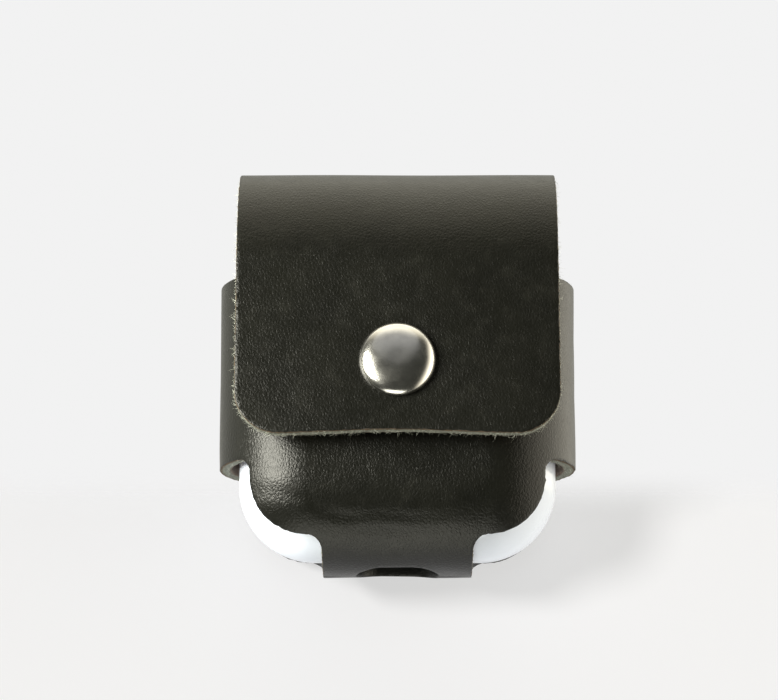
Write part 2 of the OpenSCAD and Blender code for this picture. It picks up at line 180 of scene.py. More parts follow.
class Sheet:
    """A piece of thick leather: a flat cut, u across and v along, and where each point of it goes."""

    def __init__(self, u, v, side, faces, place, outline, free_edge, seed, dark_rim=None):
        """place bends the cut, outline and free_edge say where it ends, and dark_rim where its edge is as
        dark as the skin.
        """
        used = sorted({i for f in faces for i in f})
        new = {old: i for i, old in enumerate(used)}
        self.u, self.v, self.side = u[used], v[used], side[used]
        self.faces = [[new[i] for i in f] for f in faces]
        self.place = place
        self.outline = outline
        self.free_edge = free_edge
        self.random = np.random.default_rng(seed)
        self.dark_rim = np.zeros(len(self.u), bool) if dark_rim is None else dark_rim(self.u, self.v, self.side)
        self.edges = rim_edges(self.faces)
        self.rim = np.array(sorted({i for e in self.edges for i in e}))

    def rings(self, rim):
        """Points of the cut edge, ring by ring from the outer skin to the flesh side."""
        u, v, side = self.u[rim], self.v[rim], self.side[rim]
        du, dv = slope(lambda a, b: self.outline(a, b, side), u, v)
        size = np.maximum(np.hypot(du, dv), 1e-6)
        free = self.free_edge(u, v, side)
        found = []
        for out, depth in EDGE:
            rough = self.random.normal(0, EDGE_NOISE, len(rim))
            move = (INSET + out + rough) * free / size
            found.append(self.place(u + move * du / size, v + move * dv / size, side, depth))
        return found

    def mesh(self, name, materials):
        """Closed mesh: outer skin, cut edge and flesh side."""
        n = len(self.u)
        edges, rim = self.edges, self.rim
        order = {vert: i for i, vert in enumerate(rim)}
        outer = self.place(self.u, self.v, self.side, 0.0)
        inner = self.place(self.u, self.v, self.side, 1.0)
        rings = self.rings(rim)
        points = np.concatenate([outer, *rings, inner])
        depths = [0.0] * n + [d for _, d in EDGE for _ in rim] + [1.0] * n
        inner_start = n + len(EDGE) * len(rim)

        def level(k, vert):
            """A vertex on ring k: the outer skin is 0, and the flesh side comes after the edge's rings."""
            if k == 0:
                return vert
            if k > len(EDGE):
                return inner_start + vert
            return n + (k - 1) * len(rim) + order[vert]

        faces = list(self.faces)
        slots = [SKIN] * len(faces)
        for k in range(len(EDGE) + 1):
            slot = SKIN if k < 1 else RAW
            for a, b in edges:
                faces.append([level(k, b), level(k, a), level(k + 1, a), level(k + 1, b)])
                slots.append(SKIN if self.dark_rim[a] else slot)
        faces += [[inner_start + i for i in reversed(f)] for f in self.faces]
        slots += [FLESH] * len(self.faces)
        first = self.faces[0]
        normal = np.cross(outer[first[1]] - outer[first[0]], outer[first[2]] - outer[first[0]])
        if normal @ (outer[first[0]] - inner[first[0]]) < 0:
            faces = [f[::-1] for f in faces]
        return make_object(name, to_row(points), faces, materials, slots, depths)


FIBRE_RINGS = 5
FIBRE_SIDES = 3
FIBRE_STEP = 0.1
FIBRE_RADIUS = (0.012, 0.03)
FIBRE_CURL = 0.4
FIBRE_TAPER = 0.85


def unit(vectors):
    """The vectors at length 1."""
    return vectors / np.maximum(np.linalg.norm(vectors, axis=-1, keepdims=True), 1e-9)


def fibre_faces(count):
    """Faces of count slivers whose points come ring by ring and corner by corner, all slivers together."""
    faces = []
    for i in range(count):
        for k in range(FIBRE_RINGS - 1):
            low = FIBRE_SIDES * k
            high = low + FIBRE_SIDES
            for corner in range(FIBRE_SIDES):
                after = (corner + 1) % FIBRE_SIDES
                quad = (low + corner, low + after, high + after, high + corner)
                faces.append([point * count + i for point in quad])
        last = FIBRE_SIDES * (FIBRE_RINGS - 1)
        faces.append([(last + corner) * count + i for corner in range(FIBRE_SIDES)])
        faces.append([corner * count + i for corner in reversed(range(FIBRE_SIDES))])
    return faces


def make_fibres(name, sheet, wanted, per_point, material, body):
    """Loose fibres that stand out of a sheet's cut edge: thin slivers that curl and taper to a tip."""
    random = sheet.random
    rim = sheet.rim[wanted(sheet.u[sheet.rim], sheet.v[sheet.rim], sheet.side[sheet.rim])]
    chosen = random.choice(rim, round(per_point * len(rim)))
    count = len(chosen)
    u, v, side = sheet.u[chosen], sheet.v[chosen], sheet.side[chosen]
    du, dv = slope(lambda a, b: sheet.outline(a, b, side), u, v)
    size = np.maximum(np.hypot(du, dv), 1e-6)
    du, dv = du / size, dv / size
    u = u + FIBRE_STEP * du - random.uniform(-0.3, 0.3, count) * dv
    v = v + FIBRE_STEP * dv
    depth = random.beta(2, 2, count)
    root = sheet.place(u, v, side, depth)
    out = unit(sheet.place(u + FIBRE_STEP * du, v + FIBRE_STEP * dv, side, depth) - root)
    along = unit(sheet.place(u - FIBRE_STEP * dv, v + FIBRE_STEP * du, side, depth) - root)
    across = unit(np.cross(out, along))
    lean = random.normal(0, 0.8, (3, count, 1))
    aim = unit(0.7 * out + lean[0] * along + 0.5 * lean[1] * across)
    curl = unit(out * lean[2] + along * lean[1] + across * lean[0])
    length = random.gamma(4, 0.1, (count, 1))
    radius = random.uniform(*FIBRE_RADIUS, (count, 1))
    points = []
    for k in range(FIBRE_RINGS):
        t = k / (FIBRE_RINGS - 1)
        centre = root + length * (t * aim + FIBRE_CURL * t * t * curl)
        for corner in range(FIBRE_SIDES):
            angle = corner * 2 * math.pi / FIBRE_SIDES
            spoke = math.cos(angle) * unit(np.cross(aim, across)) + math.sin(angle) * across
            points.append(centre + radius * (1 - FIBRE_TAPER * t) * spoke)
    obj = make_object(name, to_row(np.concatenate(points)), fibre_faces(count), [material])
    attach(obj, body)


def make_object(name, points, faces, materials, slots=None, depths=None, smooth_angle=40):
    """Mesh object in the row frame, smooth apart from its sharp corners."""
    mesh = bpy.data.meshes.new(name)
    mesh.from_pydata([tuple(p) for p in points], [], faces)
    for material in materials:
        mesh.materials.append(material)
    if slots is not None:
        mesh.polygons.foreach_set("material_index", slots)
    if depths is not None:
        layer = mesh.attributes.new("depth", "FLOAT", "POINT")
        layer.data.foreach_set("value", depths)
    mesh.polygons.foreach_set("use_smooth", [True] * len(mesh.polygons))
    mesh.set_sharp_from_angle(angle=math.radians(smooth_angle))
    mesh.update()
    obj = bpy.data.objects.new(name, mesh)
    bpy.context.scene.collection.objects.link(obj)
    return obj


# ---- Leather: how the flat cut lies on the case ----

def sleeve_relief(x, v, side):
    """How far the sleeve's outer skin lies below its smooth shape: soft waves and a few creases."""
    wave = 0.06 * (1 + np.sin(0.31 * x + 0.9 + 1.3 * side) * np.sin(0.27 * v + 0.4))
    ripple = 0.5 + 0.5 * np.cos(2.6 * v + 0.5 * np.sin(0.5 * x))
    low_folds = 0.07 * bell(x, 9) * bell(v - 4.5, 3) * ripple
    arc = np.hypot(x + 7, v - 17) - 12.5
    crease = 0.1 * bell(arc, 0.9) * soft_step(-x, 4, 9) * soft_step(17 - v, 0, 4)
    return wave + low_folds + crease * (side > 0)


def sleeve_place(p, w, side, depth):
    """Point of the sleeve: p round the case from the middle of a face, w up from the bottom bend."""
    sign = np.sign(p)
    turn = np.maximum(np.abs(p) - SKIN_X, 0) / MID_R
    dip = np.maximum(-w, 0) / MID_R
    flat_x = np.minimum(np.abs(p), SKIN_X)
    sink = sleeve_relief(sign * flat_x + p * 0.2, w + CORE_LOW, side) * (1 - depth)
    r = SKIN_R - depth * LEATHER - sink
    dx, dv = r * np.sin(turn), r * np.sin(dip)
    rise = np.sqrt(np.maximum(r ** 2 - dx ** 2 - dv ** 2, 0))
    v = CORE_LOW + np.maximum(w, 0) - dv
    return np.stack([sign * (flat_x + dx), v, side * rise], -1)


def sleeve_outline(p, w, side):
    """Distance from the sleeve's cut, below zero inside it."""
    turn = np.maximum(np.abs(p) - SKIN_X, 0) / MID_R
    dip = np.maximum(-w, 0) / MID_R
    x = np.minimum(np.abs(p), SKIN_X) + SKIN_R * np.sin(turn)
    v = CORE_LOW + np.maximum(w, 0) - SKIN_R * np.sin(dip)
    z = SKIN_R * np.cos(dip)
    band = np.maximum(BAND[0] - v, v - BAND[1])
    panel_top = BAND[0] + 6
    panel_low = np.where(side > 0, PANEL_LOW, BACK_PANEL_LOW)
    panel_mid, panel_half = (panel_top + panel_low) / 2, (panel_top - panel_low) / 2
    panel = rounded_box(x, v - panel_mid, PANEL_X, panel_half, PANEL_R)
    strap = np.maximum(x - STRAP_X - STRAP_TAPER * v, v - PANEL_LOW - 4)
    body = join(join(band, panel, FILLET), strap, FILLET)
    slot = np.hypot(np.maximum(x - SLOT_X + SLOT_R, 0), z) - SLOT_R
    body = np.where(w < 0, np.maximum(body, -slot), body)
    above = rounded_box(p, v - BACK_TOP - 10, CUT_X, 10, 0.6)
    return np.where(side < 0, np.maximum(body, -above), body)


def sleeve_free_edge(p, w, side):
    """0 along the line where the back goes on as the upper back, and 1 along every other edge."""
    joined = (side < 0) & (w > BACK_TOP - CORE_LOW - 0.5)
    return np.where(joined, soft_step(np.abs(p), 22.6, 23.0), 1.0)


# These cut edges get the skin's dark colour: a dark line along the back's lower rim and round the cable
# opening.
def sleeve_dark_rim(p, w, side):
    """Where the cut edge is as dark as the skin: low on the back, and round the cable opening."""
    return ((side < 0) & (w < -1)) | ((np.abs(p) < SLOT_X + 1) & (w < -12))


def sleeve_fibre_edge(p, w, side):
    """Where fibres stand out of the sleeve's edge: along the bands, and not at the strap's end."""
    return (sleeve_free_edge(p, w, side) > 0.9) & (w > -1)


def make_sleeve(materials):
    """Front panel, side bands, strap and lower back, from one piece of leather."""
    p_max = SKIN_X + MID_R * math.pi / 2
    w_min = -MID_R * math.pi / 2
    ps = np.linspace(-p_max, p_max, 2 * round(p_max / CELL) + 1)
    ws = np.concatenate([np.linspace(w_min, 0, round(-w_min / CELL), endpoint=False),
                         np.arange(0, BAND[1] - CORE_LOW + CELL, CELL)])
    parts = []
    for side in (1.0, -1.0):
        def field(p, w, side=side):
            """The cut, drawn in by what the edge's rings stand out."""
            inset = INSET * sleeve_free_edge(p, w, np.full_like(p, side))
            return sleeve_outline(p, w, side) + inset
        parts.append(cut_grid(ps, ws, field))
    size = len(ps) * len(ws)
    grid = np.arange(size).reshape(len(ps), len(ws))
    shared = np.zeros_like(grid, bool)
    shared[0, :] = shared[-1, :] = shared[:, 0] = True
    back = np.where(shared, grid, grid + size).ravel()
    faces = parts[0][2] + [[int(back[i]) for i in reversed(f)] for f in parts[1][2]]
    u = np.concatenate([parts[0][0], parts[1][0]])
    v = np.concatenate([parts[0][1], parts[1][1]])
    side = np.repeat([1.0, -1.0], size)
    sheet = Sheet(u, v, side, faces, sleeve_place, sleeve_outline, sleeve_free_edge, 11,
                  sleeve_dark_rim)
    obj = sheet.mesh("sleeve_leather", materials)
    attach(obj, "sleeve")
    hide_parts("sleeve_body")
    return sheet


BEND_R = FLAP_BEND - LEATHER / 2
ARCH_A = math.radians(135)
BEND_A = math.radians(45) - FLAP_SLOPE
BEND_END_V = (CORE_HIGH + SKIN_R * math.sin(math.radians(45))
              - FLAP_BEND * math.sin(math.radians(45)) + BEND_R * math.sin(FLAP_SLOPE))
# Stretches of the long strip, from the back up over the lid and down the front: length, and radius
# or None.
PATH = (
    (CORE_HIGH - BACK_TOP, None),
    (MID_R * ARCH_A, MID_R),
    (BEND_R * BEND_A, BEND_R),
    ((BEND_END_V - FLAP_END) / math.cos(FLAP_SLOPE), None),
)
PATH_END = sum(length for length, _ in PATH)
TOP_S = PATH[0][0] + MID_R * math.pi / 2
SNAP_S = PATH_END - (SNAP_V - FLAP_END) / math.cos(FLAP_SLOPE)
FLAT_S = 12.2


def strip_path(s):
    """Middle of the strip's thickness at length s: height, depth, and angle of its normal from forward."""
    v = np.full_like(s, BACK_TOP)
    z = np.full_like(s, -MID_R)
    angle = np.full_like(s, math.pi)
    start = 0.0
    for length, radius in PATH:
        last = length == PATH[-1][0]
        t = np.maximum(s - start, 0) if last else np.clip(s - start, 0, length)
        if radius is None:
            v = v - t * np.cos(angle)
            z = z + t * np.sin(angle)
        else:
            after = angle - t / radius
            v = v + radius * (np.sin(after) - np.sin(angle))
            z = z + radius * (np.cos(after) - np.cos(angle))
            angle = after
        start += length
    return v, z, angle


def strip_relief(p, s):
    """How far the strip's outer skin lies below its smooth shape."""
    wave = 0.07 * (1 + np.sin(0.23 * p + 0.7) * np.sin(0.19 * s + 1.1))
    away = np.hypot(p, s - SNAP_S)
    press = 0.16 * bell(away, CAP_R + 1.5)
    corner = p + 15.5 + 0.12 * (s - SNAP_S)
    ripple = 0.5 + 0.5 * np.cos(7.5 * corner + 0.4 * s)
    folds = 0.045 * bell(corner, 2.6) * bell(s - SNAP_S - 3.5, 5) * ripple
    return wave + press + folds


def strip_place(p, s, side, depth):
    """Point of the strip: p across it and s along it."""
    v, z, angle = strip_path(s)
    round_back = 1 - soft_step(s, 0, FLAT_S)
    out = np.maximum(np.abs(p) - SKIN_X, 0)
    turn = out * round_back / MID_R
    on_strip = soft_step(s, 0, 3)
    back_x = np.sign(p) * np.minimum(np.abs(p), SKIN_X) + p * 0.2
    back = sleeve_relief(back_x, np.full_like(s, BACK_TOP), -1.0)
    height = (0.5 - depth) * LEATHER - strip_relief(p, s) * (1 - depth) * on_strip
    height = height - back * (1 - depth) * (1 - on_strip)
    across = np.minimum(np.abs(p), SKIN_X) + out * np.sinc(turn / math.pi) + height * np.sin(turn)
    off = height * np.cos(turn) - out * np.sin(turn / 2) * np.sinc(turn / (2 * math.pi))
    return np.stack([np.sign(p) * across, v + off * np.sin(angle), z + off * np.cos(angle)], -1)


def strip_outline(p, s, side=None):
    """Distance from the strip's cut: two long sides, and an end with round corners."""
    half = FLAP_X + 0.66 * (1 - soft_step(s, 0, FLAT_S))
    lift = FLAP_LIFT * bell(p, 11)
    length = PATH_END - lift
    end = rounded_box(p, s - length / 2, half, length / 2, FLAP_R)
    return np.where(s > PATH_END / 2, end, np.abs(p) - half)


def make_strip(name, s0, s1, seed, materials, replaced):
    """One stretch of the long strip, from length s0 to s1; the CAD node it replaces is hidden."""
    ps = np.arange(-round(23.6 / CELL), round(23.6 / CELL) + 1) * CELL
    ss = np.linspace(s0, s1, round((s1 - s0) / CELL) + 1)
    u, v, faces = cut_grid(ps, ss, lambda p, s: strip_outline(p, s) + INSET)

    def free_edge(p, s, side):
        """1 on the strip's own cut edges, and 0 where it goes on as the next stretch."""
        return (np.abs(strip_outline(p, s) + INSET) < 0.02).astype(float)

    sheet = Sheet(u, v, np.ones(len(u)), faces, strip_place, strip_outline, free_edge, seed)
    obj = sheet.mesh(name, materials)
    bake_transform(obj)
    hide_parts(replaced)
    return sheet


def make_strips(materials):
    """Upper back, fold over the lid, and flap: one strip of leather in three stretches."""
    split = SPLIT_LOW - BACK_TOP
    make_strip("back_leather", 0.0, split, 21, materials, "upper_back")
    make_strip("top_leather", split, TOP_S, 22, materials, "flap_top")
    return make_strip("flap_leather", TOP_S, PATH_END + 0.5, 23, materials, "flap_front")


def flap_fibre_edge(p, s, side):
    """Where fibres stand out of the flap's edge: past its front fold."""
    return s > TOP_S + 4


CAP_HEIGHT = 1.8
CAP_POST = (2.0, -1.9)
CAP_TURNS = 128
CAP_STEPS = 48
# How square the cap's section is, across and in height: 2 and 2 would be an ellipse.
CAP_SQUARE = (3.1, 2.3)


def cap_profile():
    """Half section of the cap and its post: radius and height, from near the tip to the post's end."""
    t = np.linspace(0, 1, CAP_STEPS)
    radius = CAP_R * np.sin(t * math.pi / 2) ** (2 / CAP_SQUARE[0])
    height = CAP_HEIGHT * np.cos(t * math.pi / 2) ** (2 / CAP_SQUARE[1])
    lip = [(CAP_R - 0.04, -0.06), (CAP_R - 0.2, -0.1), (CAP_POST[0], -0.1), CAP_POST]
    return np.concatenate([np.stack([radius, height], -1)[1:], lip])


def cap_faces(rings):
    """Faces round the cap's rings, and two fans: one to the tip and one to the post's end."""
    faces = []
    pairs = [(i, (i + 1) % CAP_TURNS) for i in range(CAP_TURNS)]
    for start in range(0, (rings - 1) * CAP_TURNS, CAP_TURNS):
        after = start + CAP_TURNS
        faces += [[start + j, after + j, after + i, start + i] for i, j in pairs]
    last = (rings - 1) * CAP_TURNS
    tip = rings * CAP_TURNS
    for i, j in pairs:
        faces.append([j, i, tip])
        faces.append([tip + 1, last + i, last + j])
    return faces


def make_snap_cap(material):
    """Pressed metal cap of the snap: a shallow dome that curves ever faster into its rim, and its post."""
    profile = cap_profile()
    turn = np.arange(CAP_TURNS) * 2 * math.pi / CAP_TURNS
    across = profile[:, :1] * np.sin(turn)
    along = profile[:, :1] * np.cos(turn)
    out = np.repeat(profile[:, 1:], CAP_TURNS, 1)
    local = np.stack([across, along, out], -1).reshape(-1, 3)
    local = np.concatenate([local, [(0, 0, CAP_HEIGHT), (0, 0, CAP_POST[1])]])
    v, z, angle = (float(value[0]) for value in strip_path(np.array([SNAP_S])))
    off = local[:, 2] + LEATHER / 2
    up = v + local[:, 1] * math.cos(angle) + off * math.sin(angle)
    forward = z - local[:, 1] * math.sin(angle) + off * math.cos(angle)
    points = np.stack([local[:, 0], up, forward], -1)
    obj = make_object("snap_dome", to_row(points), cap_faces(len(profile)), [material], smooth_angle=50)
    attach(obj, "flap_front")
    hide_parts("snap_cap")
    return obj


# ---- Materials ----

class Look:
    """A material's nodes, with one Principled shader."""

    def __init__(self, name, roughness, metallic=0.0):
        """A new material that is the same all over."""
        self.material = bpy.data.materials.new(name)
        self.material.use_nodes = True
        self.nodes = self.material.node_tree.nodes
        self.links = self.material.node_tree.links
        self.shader = self.nodes["Principled BSDF"]
        self.shader.inputs["Roughness"].default_value = roughness
        self.shader.inputs["Metallic"].default_value = metallic
        self.coords = self.nodes.new("ShaderNodeTexCoord").outputs["Object"]

    def plain(self, **values):
        """Sets sockets of the shader that are the same all over."""
        for key, value in values.items():
            self.shader.inputs[key.replace("_", " ")].default_value = value
        return self

    def put(self, kind, inputs=None, **settings):
        """Adds a node, sets its properties, and fills or links its inputs."""
        node = self.nodes.new(kind)
        for key, value in settings.items():
            setattr(node, key, value)
        for key, value in (inputs or {}).items():
            if isinstance(value, bpy.types.NodeSocket):
                self.links.new(value, node.inputs[key])
            else:
                node.inputs[key].default_value = value
        return node

    def noise(self, size_mm, detail=4.0, roughness=0.55, stretch=(1, 1, 1), distortion=0.0):
        """Cloudy noise whose main features are about size_mm across."""
        scaled = self.put("ShaderNodeMapping", {"Vector": self.coords, "Scale": stretch})
        node = self.put("ShaderNodeTexNoise", {
            "Vector": scaled.outputs[0], "Scale": 1 / (size_mm * MM), "Detail": detail,
            "Roughness": roughness, "Distortion": distortion})
        return node.outputs["Fac"]

    def cells(self, size_mm, feature="DISTANCE_TO_EDGE", warp=None):
        """Cells about size_mm across, as in pebbled leather."""
        node = self.put("ShaderNodeTexVoronoi", {
            "Vector": warp or self.coords, "Scale": 1 / (size_mm * MM)}, feature=feature)
        return node.outputs["Distance"]

    def warped(self, size_mm, amount_mm):
        """The coordinates, pushed about by noise."""
        scaled = self.put("ShaderNodeTexNoise", {
            "Vector": self.coords, "Scale": 1 / (size_mm * MM), "Detail": 2.0})
        centred = self.put("ShaderNodeVectorMath", {
            0: scaled.outputs["Color"], 1: (0.5, 0.5, 0.5)}, operation="SUBTRACT")
        pushed = self.put("ShaderNodeVectorMath", {
            0: centred.outputs[0], 1: (amount_mm * MM,) * 3}, operation="MULTIPLY")
        return self.put("ShaderNodeVectorMath", {0: pushed.outputs[0], 1: self.coords}).outputs[0]

    def ramp(self, value, *stops):
        """Colour or grey ramp through (position, value) stops."""
        node = self.put("ShaderNodeValToRGB", {"Fac": value})
        elements = node.color_ramp.elements
        while len(elements) < len(stops):
            elements.new(0.5)
        for element, (position, colour) in zip(elements, stops):
            element.position = position
            element.color = (*colour, 1) if hasattr(colour, "__len__") else (colour,) * 3 + (1,)
        return node.outputs["Color"]

    def math(self, operation, a, b=0.0):
        """Result of a sum on one or two values."""
        return self.put("ShaderNodeMath", {0: a, 1: b}, operation=operation).outputs[0]

    def mix(self, factor, a, b):
        """Colour a, turning into the plain colour b as factor rises."""
        node = self.put("ShaderNodeMix", {0: factor, 6: a, 7: (*b, 1)}, data_type="RGBA")
        return node.outputs["Result"]

    def finish(self, colour=None, roughness=None, bumps=()):
        """Links the colour, the roughness and the bumps, given as (height, depth in mm) pairs."""
        if colour is not None:
            self.links.new(colour, self.shader.inputs["Base Color"])
        if roughness is not None:
            self.links.new(roughness, self.shader.inputs["Roughness"])
        normal = None
        for height, depth_mm in bumps:
            inputs = {"Height": height, "Distance": depth_mm * MM, "Strength": 1.0}
            if normal is not None:
                inputs["Normal"] = normal
            normal = self.put("ShaderNodeBump", inputs).outputs["Normal"]
        if normal is not None:
            self.links.new(normal, self.shader.inputs["Normal"])
        return self.material


def leather_skin():
    """Smooth waxed leather, dark olive-black, with fine pebbled grain and faint scratches."""
    look = Look("leather_skin", 0.42).plain(IOR=1.5, Specular_IOR_Level=0.32)
    stretched = look.put("ShaderNodeVectorMath", {
        0: look.warped(1.1, 0.55), 1: (1.0, 0.8, 1.0)}, operation="MULTIPLY").outputs[0]
    grain = look.cells(0.46, warp=stretched)
    pebble = look.ramp(grain, (0.0, 0.0), (0.3, 1.0))
    fine = look.noise(0.26, 3, 0.6, (1.0, 0.6, 1.0))
    cloud = look.noise(7, 3)
    wear = look.noise(2.4, 6, 0.65)
    tone = look.ramp(cloud, (0.3, (0.0036, 0.0038, 0.0027)), (0.7, (0.0056, 0.0058, 0.0041)))
    dust = look.ramp(wear, (0.55, 0.0), (0.85, 0.3))
    colour = look.mix(dust, tone, (0.02, 0.02, 0.015))
    scratch = look.noise(0.5, 2, 0.5, (0.1, 1.0, 1.0), 0.6)
    marks = look.ramp(scratch, (0.69, 0.0), (0.72, 1.0))
    rough = look.ramp(wear, (0.3, 0.31), (0.75, 0.39))
    return look.finish(colour, rough, [
        (look.noise(4.5, 2), 0.05), (pebble, 0.019), (fine, 0.027), (marks, 0.006)])


def leather_edge():
    """Raw cut edge: a thin brown line under the skin, pale grey-green fibres, then the flesh side."""
    look = Look("leather_edge", 0.85).plain(Specular_IOR_Level=0.25)
    depth = look.put("ShaderNodeAttribute", attribute_name="depth").outputs["Fac"]
    fibre = look.noise(0.22, 5, 0.7)
    clump = look.noise(0.9, 3, 0.6)
    layers = look.ramp(depth, (0.0, (0.05, 0.035, 0.022)), (0.14, (0.13, 0.085, 0.05)),
                       (0.26, (0.25, 0.26, 0.22)), (0.75, (0.28, 0.29, 0.25)), (1.0, (0.16, 0.11, 0.08)))
    dark = look.ramp(fibre, (0.35, 0.85), (0.62, 0.0))
    colour = look.mix(dark, layers, (0.03, 0.031, 0.026))
    return look.finish(colour, None, [(fibre, 0.12), (clump, 0.15)])


def leather_flesh():
    """Suede-like inner side of the leather, brown."""
    look = Look("leather_flesh", 0.95).plain(Specular_IOR_Level=0.2, Sheen_Weight=0.2)
    nap = look.noise(0.3, 6, 0.7)
    tone = look.ramp(look.noise(3, 4), (0.3, (0.13, 0.085, 0.058)), (0.7, (0.19, 0.13, 0.09)))
    dark = look.ramp(nap, (0.4, 0.5), (0.6, 0.0))
    colour = look.mix(dark, tone, (0.06, 0.04, 0.03))
    return look.finish(colour, None, [(nap, 0.08)])


def fibre_look():
    """Loose leather fibres at a cut edge."""
    look = Look("leather_fibre", 0.8)
    tone = look.ramp(look.noise(0.8, 2), (0.3, (0.35, 0.36, 0.31)), (0.7, (0.62, 0.64, 0.57)))
    return look.finish(tone)


def gloss_plastic(name, colour, roughness=0.12):
    """Moulded glossy plastic with a faint unevenness."""
    look = Look(name, roughness).plain(IOR=1.49)
    low = tuple(0.985 * c for c in colour)
    tone = look.ramp(look.noise(9, 2), (0.3, low), (0.7, colour))
    rough = look.ramp(look.noise(1.6, 5), (0.3, roughness), (0.8, roughness + 0.05))
    return look.finish(tone, rough, [(look.noise(5, 1), 0.004)])


def satin_plastic(name, colour, roughness=0.45):
    """Moulded plastic with a fine matt texture."""
    look = Look(name, roughness)
    low = tuple(0.9 * c for c in colour)
    tone = look.ramp(look.noise(4, 3), (0.3, low), (0.7, colour))
    rough = look.ramp(look.noise(0.8, 4), (0.3, roughness - 0.08), (0.7, roughness + 0.08))
    return look.finish(tone, rough, [(look.noise(0.15, 2), 0.004)])


def metal(name, colour, roughness=0.25, brush=(1, 1, 1), wear=0.08):
    """Metal with fine brushing and duller patches."""
    look = Look(name, roughness, 1.0)
    low = tuple(0.86 * c for c in colour)
    patch = look.noise(1.8, 5, 0.6)
    tone = look.ramp(patch, (0.35, low), (0.65, colour))
    lines = look.noise(0.12, 3, 0.6, brush)
    mixed = look.math("ADD", look.math("MULTIPLY", patch, 2 * wear), look.math("MULTIPLY", lines, wear))
    rough = look.math("ADD", mixed, max(roughness - 1.3 * wear, 0.03))
    return look.finish(tone, rough, [(lines, 0.0012)])


def waxed_thread():
    """Twisted waxed thread."""
    look = Look("waxed_thread", 0.6)
    twist = look.put("ShaderNodeTexWave", {"Vector": look.coords, "Scale": 700.0, "Distortion": 1.5},
                     bands_direction="DIAGONAL").outputs["Fac"]
    tone = look.ramp(twist, (0.0, (0.02, 0.018, 0.012)), (1.0, (0.075, 0.068, 0.05)))
    return look.finish(tone, None, [(twist, 0.05)])


def board_look():
    """Green solder mask with copper traces under it."""
    look = Look("board", 0.35)
    lines = look.put("ShaderNodeTexBrick", {
        "Vector": look.coords, "Scale": 420.0, "Mortar Size": 0.06, "Color1": (0.01, 0.09, 0.04, 1),
        "Color2": (0.012, 0.11, 0.05, 1), "Mortar": (0.03, 0.2, 0.09, 1)})
    return look.finish(lines.outputs["Color"], None, [(lines.outputs["Fac"], 0.02)])


def mesh_look():
    """Fine dark woven mesh."""
    look = Look("speaker_mesh", 0.5, 0.6)
    weave = look.put("ShaderNodeTexChecker", {
        "Vector": look.coords, "Scale": 5000.0,
        "Color1": (0.015, 0.015, 0.017, 1), "Color2": (0.09, 0.09, 0.1, 1)})
    return look.finish(weave.outputs["Color"], None, [(weave.outputs["Fac"], 0.05)])


def indicator_look():
    """Frosted lens of a status light, unlit."""
    look = Look("indicator", 0.5).plain(Transmission_Weight=0.4)
    tone = look.ramp(look.noise(0.7, 2), (0.3, (0.28, 0.52, 0.34)), (0.7, (0.4, 0.66, 0.46)))
    return look.finish(tone)


NICKEL = ((0.72, 0.71, 0.68), 0.2, (0.08, 1.0, 1.0), 0.05)


def slot_materials(skin):
    """Material for each of the record's slots."""
    return {
        "leather": skin,
        "thread": waxed_thread(),
        "snap_metal": metal("snap_nickel", *NICKEL),
        "spring_brass": metal("spring_brass", (0.62, 0.5, 0.28)),
        "white_shell": gloss_plastic("white_shell", (0.79, 0.85, 0.98), 0.1),
        "inner_plastic": gloss_plastic("inner_plastic", (0.82, 0.825, 0.84), 0.25),
        "earbud_plastic": gloss_plastic("earbud_plastic", (0.87, 0.87, 0.885), 0.12),
        "cell_wrap": satin_plastic("cell_wrap", (0.05, 0.052, 0.055)),
        "circuit_board": board_look(),
        "port_metal": metal("port_metal", (0.56, 0.56, 0.58), 0.3, (1, 0.1, 1)),
        "contact_gold": metal("contact_gold", (0.86, 0.62, 0.26), 0.2),
        "indicator": indicator_look(),
        "steel": metal("steel", (0.56, 0.56, 0.57), 0.3, (0.1, 1, 1)),
        "magnet": metal("magnet_plating", (0.42, 0.42, 0.44), 0.3),
        "mesh_dark": mesh_look(),
        "contact_steel": metal("contact_steel", (0.6, 0.6, 0.61), 0.22),
    }


def dress_nodes(materials):
    """Gives every CAD node the material of its slot."""
    for part in frame["record"]["subparts"]:
        data = frame["nodes"][part["node"]].data
        if not data.materials:
            data.materials.append(None)
        for i in range(len(data.materials)):
            data.materials[i] = materials[part["material_slot"]]


# ---- Camera, light and floor ----

MIDDLE = Vector((0, 0, SKIN_R * MM))


def add_camera():
    """Looks at the front from a little below it, from about half a metre."""
    tilt = math.radians(12.72)
    distance = 473.1 * MM
    data = bpy.data.cameras.new("camera")
    data.lens = 155.1
    data.sensor_width = 36
    data.shift_x = -0.0108
    data.shift_y = 0.0321
    data.clip_start = 0.01
    camera = bpy.data.objects.new("camera", data)
    camera.location = MIDDLE + Vector((0, -math.sin(tilt), math.cos(tilt))) * distance
    camera.rotation_euler = (tilt, 0, 0)
    bpy.context.scene.collection.objects.link(camera)
    bpy.context.scene.camera = camera


PAPER = 0.887


